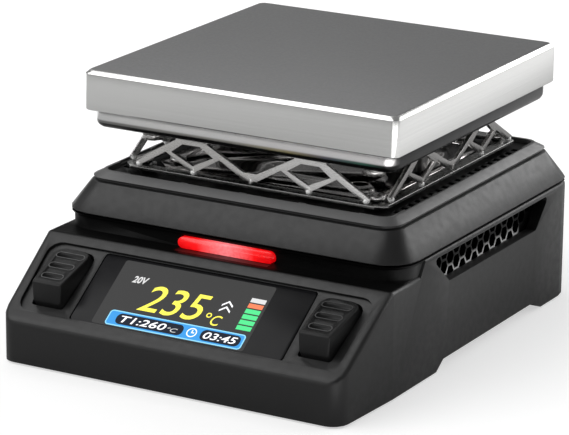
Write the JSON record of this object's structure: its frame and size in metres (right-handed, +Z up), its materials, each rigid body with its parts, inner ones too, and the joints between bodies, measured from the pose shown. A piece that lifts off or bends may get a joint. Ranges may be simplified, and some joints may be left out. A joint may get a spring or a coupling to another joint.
{
  "type": "pcb preheater",
  "caption": "Small soldering preheater: square metal heating plate on a stainless lattice frame over a sloped base with a display, wedge keys, honeycomb side vents and a red light bar.",
  "frame": {"origin": "on the table under the middle of the whole object", "axes": "+X to the right seen from the display side, +Y to the rear, +Z up"},
  "size_m": [0.0554, 0.0714, 0.0382],
  "materials": {
    "housing": "fine satin moulded black",
    "key_plastic": "satin black",
    "deck": "matt black",
    "plate": "ground sides with bright chamfers, dark satin top",
    "pan": "dark satin steel",
    "stainless": "satin stainless sheet",
    "shield": "polished",
    "tube": "polished",
    "screw": "plain steel",
    "glass": "dark gloss cover glass",
    "lens": "lit red light guide",
    "board": "solder resist",
    "component": "moulded black",
    "connector": "natural nylon",
    "ceramic": "white ceramic",
    "fibre": "pressed fibre sheet",
    "rubber": "matt black rubber",
    "lead": "silicone sleeve",
    "ribbon": "polyimide film"
  },
  "bodies": {
    "root": {"base_housing": "housing", "top_cover": "housing", "bottom_cover": "housing", "deck_grille": "deck", "side_grille_left": "deck", "side_grille_right": "deck", "truss_frame": "stainless", "frame_ring": "stainless", "heat_shield": "shield", "lead_tube_left": "tube", "lead_tube_right": "tube", "heating_plate": "plate", "heater_pan": "pan", "insulation_sheet": "fibre", "heater_element": "ceramic", "temperature_sensor": "screw", "heater_lead": "lead", "sensor_lead": "lead", "display_window": "glass", "display_module": "component", "control_board": "board", "light_bar_lens": "lens", "light_bar_board": "board", "main_board": "board", "heater_connector": "connector", "sensor_connector": "connector", "buzzer": "component", "usb_c_socket": "screw", "dc_socket": "component", "panel_ribbon": "ribbon", "tact_switch_left": "component", "tact_switch_right": "component", "frame_screw_1": "screw", "frame_screw_2": "screw", "frame_screw_3": "screw", "frame_screw_4": "screw", "shield_screw_1": "screw", "shield_screw_2": "screw", "shield_screw_3": "screw", "shield_screw_4": "screw", "plate_screw_1": "screw", "plate_screw_2": "screw", "plate_screw_3": "screw", "plate_screw_4": "screw", "case_screw_1": "screw", "case_screw_2": "screw", "case_screw_3": "screw", "case_screw_4": "screw", "rubber_foot_1": "rubber", "rubber_foot_2": "rubber", "rubber_foot_3": "rubber", "rubber_foot_4": "rubber"},
    "left_key": {"button_left": "key_plastic", "tact_plunger_left": "connector"},
    "right_key": {"button_right": "key_plastic", "tact_plunger_right": "connector"}
  },
  "joints": [
    {"name": "left_key_press", "type": "slide", "parent": "root", "child": "left_key", "axis": [0, 0.5639, -0.8258], "range_m": [0, 0.0004], "stiffness_N_per_m": 1500, "springref_m": -0.0003},
    {"name": "right_key_press", "type": "slide", "parent": "root", "child": "right_key", "axis": [0, 0.5639, -0.8258], "range_m": [0, 0.0004], "stiffness_N_per_m": 1500, "springref_m": -0.0003}
  ]
}
